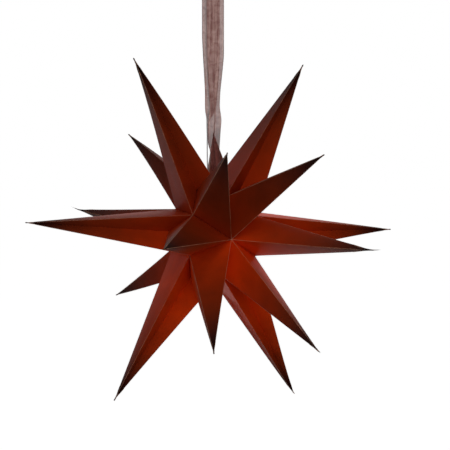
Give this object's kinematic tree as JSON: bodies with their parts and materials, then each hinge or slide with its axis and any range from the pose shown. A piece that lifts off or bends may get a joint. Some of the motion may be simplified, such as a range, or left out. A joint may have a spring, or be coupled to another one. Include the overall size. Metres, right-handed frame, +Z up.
{
  "type": "paper star lantern",
  "caption": "Hanging star of folded card whose long slender points stand round a level spine in three rings, hung by a sheer ribbon loop.",
  "frame": {"origin": "where a hook bears, under the top of the ribbon's loop", "axes": "+Z up along the ribbon, -Y out of the star's front along its spine, +X to the right seen from the front"},
  "size_m": [0.5487, 0.46, 0.5929],
  "materials": {
    "card": "dyed rust-red card with a satin face",
    "ribbon": "sheer mauve-brown organza"
  },
  "bodies": {
    "root": {"front_point_1": "card", "front_point_2": "card", "front_point_3": "card", "front_point_4": "card", "front_point_5": "card", "front_point_6": "card", "long_point_1": "card", "long_point_2": "card", "long_point_3": "card", "long_point_4": "card", "long_point_5": "card", "long_point_6": "card", "back_point_1": "card", "back_point_2": "card", "back_point_3": "card", "back_point_4": "card", "back_point_5": "card", "back_point_6": "card", "ribbon": "ribbon"}
  },
  "joints": []
}
